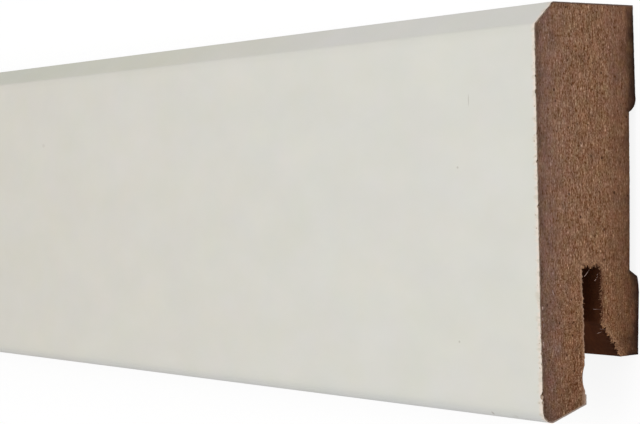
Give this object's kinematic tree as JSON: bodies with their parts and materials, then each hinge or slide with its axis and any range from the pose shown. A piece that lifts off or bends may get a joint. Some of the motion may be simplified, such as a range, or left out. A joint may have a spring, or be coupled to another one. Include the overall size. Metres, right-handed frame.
{
  "type": "skirting board length",
  "caption": "Straight low skirting board: bevelled top edge, rounded toe, slot for fixing clips behind, relief between two back pads; MDF wrapped in white foil.",
  "frame": {"origin": "middle of the length and of the height, on the plane of the two back pads, which lie on the floor", "axes": "+X along the length, +Y from the toe towards the bevelled top edge, +Z out of the white face"},
  "size_m": [2.4, 0.058, 0.019],
  "materials": {
    "mdf": "matte",
    "foil": "satin"
  },
  "bodies": {
    "root": {"mdf_core": "mdf", "white_foil": "foil"}
  },
  "joints": []
}
